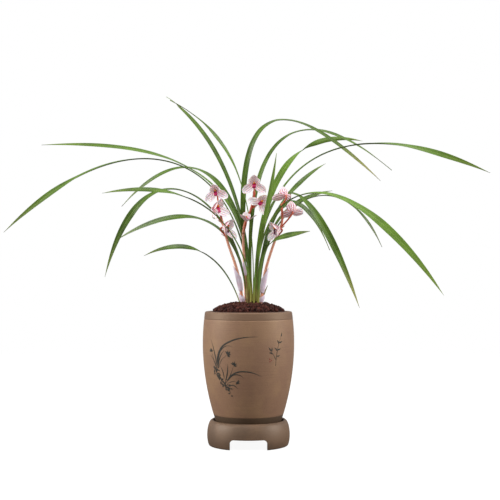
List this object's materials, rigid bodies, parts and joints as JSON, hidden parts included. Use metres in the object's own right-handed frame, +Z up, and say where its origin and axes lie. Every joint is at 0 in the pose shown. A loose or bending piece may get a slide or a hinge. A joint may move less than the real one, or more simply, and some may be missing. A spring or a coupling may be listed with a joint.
{
  "type": "potted orchid",
  "caption": "Boat orchid with arching strap leaves and three spikes of pale flowers, in a barrel-shaped stoneware pot on a round three-footed saucer.",
  "frame": {"origin": "centre of the pot's axis, on the plane that the saucer's three feet stand on", "axes": "+Z up along the pot's axis, +X to the viewer's right along the widest spread of the leaves, -Y towards the front, the side that the flowers face"},
  "size_m": [0.8834, 0.3745, 0.655],
  "materials": {
    "pot_clay": "unglazed brown stoneware, fine grain, matt, darker burnished rim band",
    "saucer_clay": "unglazed dark brown stoneware, burnished, low sheen",
    "potting_mix": "coarse reddish-brown granules of bark and fired clay, matt",
    "leaf": "living strap leaf, smooth, semi-gloss, fine parallel veins",
    "dry_scale": "dry papery scale, fibrous, matt",
    "sheath": "thin pale lilac membrane, satin",
    "flower_stem": "fleshy salmon stem, satin",
    "petals": "waxy white petal with fine pink veins, satin",
    "lip": "waxy white lip spotted magenta, orange-yellow column"
  },
  "bodies": {
    "root": {"saucer": "saucer_clay", "pot": "pot_clay", "potting_mix": "potting_mix", "basal_scale_front": "dry_scale", "basal_scale_left": "dry_scale", "basal_scale_right": "dry_scale", "centre_flower_low_lip": "lip", "centre_flower_low_petals": "petals", "centre_flower_middle_lip": "lip", "centre_flower_middle_petals": "petals", "centre_flower_top_lip": "lip", "centre_flower_top_petals": "petals", "centre_spike_sheath_1": "sheath", "centre_spike_stem": "flower_stem", "leaf_back_low": "leaf", "leaf_back_straight": "leaf", "leaf_centre_front": "leaf", "leaf_front_short": "leaf", "leaf_left_back_low": "leaf", "leaf_left_back_short": "leaf", "leaf_left_drooping": "leaf", "leaf_left_front": "leaf", "leaf_left_high": "leaf", "leaf_left_longest": "leaf", "leaf_left_lowest": "leaf", "leaf_left_tallest": "leaf", "leaf_left_upright": "leaf", "leaf_right_arching": "leaf", "leaf_right_back_arching": "leaf", "leaf_right_back_drooping": "leaf", "leaf_right_front_drooping": "leaf", "leaf_right_front_long": "leaf", "leaf_right_longest": "leaf", "leaf_right_low": "leaf", "leaf_right_pale": "leaf", "left_flower_low_lip": "lip", "left_flower_low_petals": "petals", "left_flower_middle_lip": "lip", "left_flower_middle_petals": "petals", "left_flower_top_lip": "lip", "left_flower_top_petals": "petals", "left_spike_sheath_1": "sheath", "left_spike_sheath_2": "sheath", "left_spike_stem": "flower_stem", "right_flower_low_lip": "lip", "right_flower_low_petals": "petals", "right_flower_middle_lip": "lip", "right_flower_middle_petals": "petals", "right_flower_top_lip": "lip", "right_flower_top_petals": "petals", "right_spike_sheath_1": "sheath", "right_spike_sheath_2": "sheath", "right_spike_stem": "flower_stem"}
  },
  "joints": []
}
